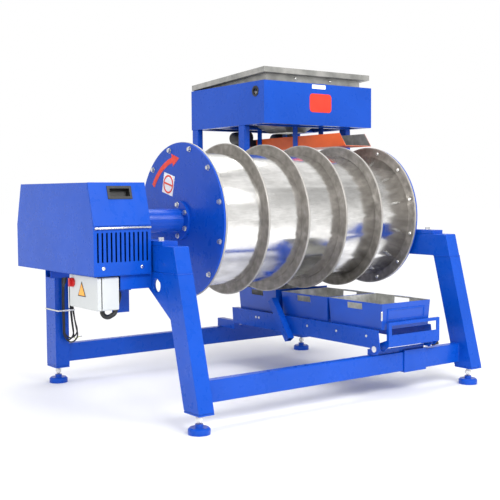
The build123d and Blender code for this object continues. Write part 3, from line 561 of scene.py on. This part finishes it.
STUCK_ON = 0.0003
STUCK_OVER = 0.0012


def flat_sign(name, outlines, place, lift, body, finish):
    """Thin film stuck on a face, or over another film."""

    def build(shape):
        for outline in outlines:
            plate(shape, outline, place @ Matrix.Translation((0, 0, lift)), 0.0008)

    piece = link(name, mesh_from(name, build), body)
    paint(piece, finish)


def rounded(width, height, corner, steps=6):
    """Outline of a rectangle with round corners, centred."""
    points = []
    for i, (sx, sy) in enumerate(((1, 1), (-1, 1), (-1, -1), (1, -1))):
        for k in range(steps + 1):
            turn = math.pi / 2 * (i + k / steps)
            x = sx * (width / 2 - corner) + corner * math.cos(turn)
            y = sy * (height / 2 - corner) + corner * math.sin(turn)
            points.append((x, y))
    return points


def polar(radius, degrees, centre=(0, 0)):
    """Point at a radius and an angle from a centre."""
    turn = math.radians(degrees)
    return (centre[0] + radius * math.cos(turn), centre[1] + radius * math.sin(turn))


def arc(radius, start, stop, steps=20, centre=(0, 0)):
    """Points along an arc, in degrees."""
    return [polar(radius, start + (stop - start) * i / steps, centre) for i in range(steps + 1)]


def ring_parts(outer, inner, centre, parts=4):
    """A ring as several plain outlines, so that each is a simple polygon."""
    outlines = []
    for i in range(parts):
        start, stop = 360 * i / parts, 360 * (i + 1) / parts
        outlines.append(arc(outer, start, stop, 14, centre) + arc(inner, stop, start, 14, centre))
    return outlines


def frame_strips(half_width, half_height, strip):
    """A rectangular frame as four strips: two along the width and two between them."""
    inner = half_height - strip
    spans = (
        (-half_width, half_width, inner, half_height),
        (-half_width, half_width, -half_height, -inner),
        (-half_width, strip - half_width, -inner, inner),
        (half_width - strip, half_width, -inner, inner),
    )
    return [[(x0, y0), (x1, y0), (x1, y1), (x0, y1)] for x0, x1, y0, y1 in spans]


def turned(points, degrees, centre):
    """Outline turned by an angle and moved to a centre."""
    turn = math.radians(degrees)
    return [
        (
            centre[0] + x * math.cos(turn) - y * math.sin(turn),
            centre[1] + x * math.sin(turn) + y * math.cos(turn),
        )
        for x, y in points
    ]


def add_drum_signs():
    """Turning arrow and a plain prohibition sign on the drive-side end plate."""
    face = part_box("left_end_plate")[0][0]
    place = facing((face, axis_y, axis_z), (-1, 0, 0), (0, -1, 0))
    tail, neck, tip = 146, 103, 90.5
    head = [polar(0.352, neck), polar(0.318, tip), polar(0.284, neck)]
    arrow = arc(0.332, tail, neck) + head + arc(0.304, neck, tail)
    flat_sign("turning_arrow", [arrow], place, STUCK_ON, "drum", red_film)
    centre = (-0.111, 0.186)
    diamond = [polar(0.075, 31 + 90 * i, centre) for i in range(4)]
    flat_sign("sign_plate", [diamond], place, STUCK_ON, "drum", white_film)
    bar = [(-0.040, -0.0045), (0.040, -0.0045), (0.040, 0.0045), (-0.040, 0.0045)]
    ring = ring_parts(0.048, 0.039, centre)
    outlines = [*ring, turned(bar, -14, centre)]
    flat_sign("sign_ring", outlines, place, STUCK_OVER, "drum", red_film)


def add_feeder_detail():
    """Plain red badge and rating plate, and the bolts of the neck."""
    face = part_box("feeder_box")[0][1]
    badge = facing((0.712, face, 1.576), (0, -1, 0), (1, 0, 0))
    badge_shape = rounded(0.170, 0.110, 0.022)
    flat_sign("red_badge", [badge_shape], badge, STUCK_ON, "feeder", red_film)
    rating = facing((0.698, face, 1.672), (0, -1, 0), (1, 0, 0))
    rating_shape = rounded(0.106, 0.024, 0.004)
    flat_sign("rating_plate", [rating_shape], rating, STUCK_ON, "feeder", white_film)
    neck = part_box("hopper_funnel")[0][1]
    spots = [(x, neck, 1.716) for x in (0.554, 0.824)]
    heads("neck_bolts", spots, (0, -1, 0), 0.009, 0.007, "feeder", zinc)


def add_carriage_detail():
    """Screws along the guide, the front tray's pressed border and its corner pin."""
    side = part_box("tray_guides")[0][0]
    spots = [(side, y, 0.316) for y in (-0.742, -0.514, -0.276, 0.162, 0.191)]
    heads("guide_screws", spots, (-1, 0, 0), 0.007, 0.004, "carriage", zinc)
    low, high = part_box("front_tray")
    lean = Vector((0, -(high[2] - low[2]), -0.008)).normalized()
    place = facing(((low[0] + high[0]) / 2, low[1] + 0.0035, 0.425), lean, (1, 0, 0))

    def build(shape):
        for outline in frame_strips(0.135, 0.032, 0.010):
            plate(shape, outline, place, 0.003, 0.0012)

    piece = link("tray_border", mesh_from("tray_border", build), "front_trays")
    paint(piece, blue_paint)

    def pin(shape):
        spot = Matrix.Translation((low[0] + 0.006, low[1] - 0.001, 0.400))
        lathe(shape, [(0.003, 0), (0.005, 0.004), (0.005, 0.044), (0.003, 0.048)], spot, 16)

    pin_piece = link("tray_pin", mesh_from("tray_pin", pin), "front_trays")
    paint(pin_piece, zinc)


def add_enclosure_detail():
    """Door gasket and a plain yellow triangle with a black border."""
    low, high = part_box("enclosure_door")
    box_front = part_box("enclosure_box")[0][0]

    inset = 0.004
    centre = (high[0], (low[1] + high[1]) / 2, (low[2] + high[2]) / 2)
    back = facing(centre, (1, 0, 0), (0, 1, 0))
    strips = frame_strips((high[1] - low[1]) / 2 - inset, (high[2] - low[2]) / 2 - inset, 0.010)

    def gasket(shape):
        for outline in strips:
            plate(shape, outline, back, box_front - high[0], 0.001)

    seal = link("door_gasket", mesh_from("door_gasket", gasket), "frame")
    paint(seal, rubber)
    place = facing((low[0], -0.347, 0.604), (-1, 0, 0), (0, -1, 0))
    border, face = ([polar(size, angle) for angle in (90, 210, 330)] for size in (0.045, 0.036))
    flat_sign("triangle_border", [border], place, STUCK_ON, "door", rubber)
    flat_sign("triangle_face", [face], place, STUCK_OVER, "door", amber_film)


def add_flange_nuts():
    """Nuts of the end plates' bolts, on the inner faces of the two end flanges."""
    low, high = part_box("drum_end_flanges")
    thickness = 0.010
    circle = 0.372
    count = 12
    turns = [2 * math.pi * (i + 0.5) / count for i in range(count)]
    round_axis = [(axis_y + circle * math.sin(turn), axis_z + circle * math.cos(turn)) for turn in turns]
    for side, x, normal in (("left", low[0] + thickness, 1), ("right", high[0] - thickness, -1)):
        spots = [(x, y, z) for y, z in round_axis]
        heads(side + "_flange_nuts", spots, (normal, 0, 0), 0.010, 0.008, "drum", zinc)


def box_outline(low, high):
    """The four sides of a rectangle, as pairs of corners."""
    corners = [low, (high[0], low[1]), high, (low[0], high[1])]
    return list(zip(corners, corners[1:] + corners[:1]))


def add_weld_beads():
    """Weld beads where the end frames' tubes meet and round the long rails' ends."""
    leg_width, leg_depth, rail_width = 0.08, 0.12, 0.05
    beam_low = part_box("top_beams")[0][2]
    leg_low, leg_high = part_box("front_legs")
    rail_low, rail_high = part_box("long_rails")
    lines = []
    for x in (leg_low[0], leg_high[0] - leg_width):
        for y in (leg_high[1] - leg_depth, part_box("rear_legs")[0][1]):
            for a, b in box_outline((x, y), (x + leg_width, y + leg_depth)):
                lines.append((Vector((*a, beam_low)), Vector((*b, beam_low))))
    for x in (rail_low[0], rail_high[0]):
        for y in (rail_low[1], rail_high[1] - rail_width):
            for a, b in box_outline((y, rail_low[2]), (y + rail_width, rail_high[2])):
                lines.append((Vector((x, *a)), Vector((x, *b))))

    def build(shape):
        for a, b in lines:
            run = b - a
            steps = max(4, int(run.length / 0.004))
            side = Vector((0, 0, 1)) if abs(run.normalized().z) < 0.5 else Vector((1, 0, 0))
            place = facing(a, run, side)
            profile = [(0.0022 + 0.0005 * (i % 2), run.length * i / steps) for i in range(steps + 1)]
            lathe(shape, profile, place, 8)

    beads = link("weld_beads", mesh_from("weld_beads", build), "frame")
    paint(beads, blue_paint)


add_drum_signs()
add_feeder_detail()
add_carriage_detail()
add_enclosure_detail()
add_flange_nuts()
add_weld_beads()


# Studio

def add_floor():
    """White floor that fades into the white behind the machine."""
    def build(shape):
        bmesh.ops.create_grid(shape, x_segments=2, y_segments=2, size=40)

    floor = bpy.data.objects.new("floor", mesh_from("floor", build))
    scene.collection.objects.link(floor)
    finish = Finish("studio_floor", 0.0, 0.6, Specular_IOR_Level=0.1, Emission_Color=(1, 1, 1, 1))
    away = finish.node("ShaderNodeVectorMath", operation="LENGTH")
    finish.join(finish.coordinates, away.inputs[0])
    fade = finish.scale_to(away.outputs["Value"], 0.0, 1.0, 1.6, 4.5)
    finish.colour(finish.mix(fade, (0.94, 0.94, 0.942), (0.0, 0.0, 0.0)))
    finish.join(fade, finish.shader.inputs["Emission Strength"])
    paint(floor, finish.material)


def add_world():
    """White to the camera; bare metal reflects darker and lighter bands high on the walls."""
    world = bpy.data.worlds.new("studio")
    world.use_nodes = True
    scene.world = world
    tree = world.node_tree
    coordinates = tree.nodes.new("ShaderNodeTexCoord")
    split = tree.nodes.new("ShaderNodeSeparateXYZ")
    ramp = tree.nodes.new("ShaderNodeValToRGB")
    remap = tree.nodes.new("ShaderNodeMapRange")
    remap.inputs["From Min"].default_value = -1
    tree.links.new(coordinates.outputs["Generated"], split.inputs[0])
    tree.links.new(split.outputs["Z"], remap.inputs["Value"])
    tree.links.new(remap.outputs["Result"], ramp.inputs["Fac"])
    tree.nodes["Background"].inputs["Strength"].default_value = 1.0
    points = ramp.color_ramp.elements
    stops = (
        (0.0, 1.0),
        (0.57, 1.0),
        (0.63, 0.7),
        (0.78, 0.5),
        (0.85, 1.0),
        (0.93, 1.0),
        (0.96, 0.42),
        (1.0, 0.4),
    )
    while len(points) < len(stops):
        points.new(0.5)
    for point, (position, grey) in zip(points, stops):
        point.position = position
        point.color = (grey, grey, grey, 1)
    seen = tree.nodes.new("ShaderNodeLightPath")
    mix = tree.nodes.new("ShaderNodeMix")
    mix.data_type = "RGBA"
    mix.inputs[7].default_value = (1, 1, 1, 1)
    tree.links.new(seen.outputs["Is Camera Ray"], mix.inputs[0])
    tree.links.new(ramp.outputs["Color"], mix.inputs[6])
    tree.links.new(mix.outputs[2], tree.nodes["Background"].inputs["Color"])


def add_light(name, spot, target, size, power):
    """Rectangular lamp that faces a target."""
    data = bpy.data.lights.new(name, "AREA")
    data.shape = "RECTANGLE"
    data.size, data.size_y = size
    data.energy = power
    light = bpy.data.objects.new(name, data)
    light.location = spot
    light.rotation_mode = "QUATERNION"
    light.rotation_quaternion = (Vector(target) - Vector(spot)).to_track_quat("-Z", "Y")
    scene.collection.objects.link(light)


add_floor()
add_world()
add_light("key", (-0.5, -5.5, 4.2), (0.1, 0, 0.9), (3.5, 2.0), 320)
add_light("side", (-6.0, -1.0, 3.0), (-0.6, 0, 0.9), (2.5, 2.5), 90)
add_light("top", (0.5, 0.5, 5.5), (0.2, 0, 1.0), (3.0, 3.0), 140)
scene.view_settings.view_transform = "Standard"
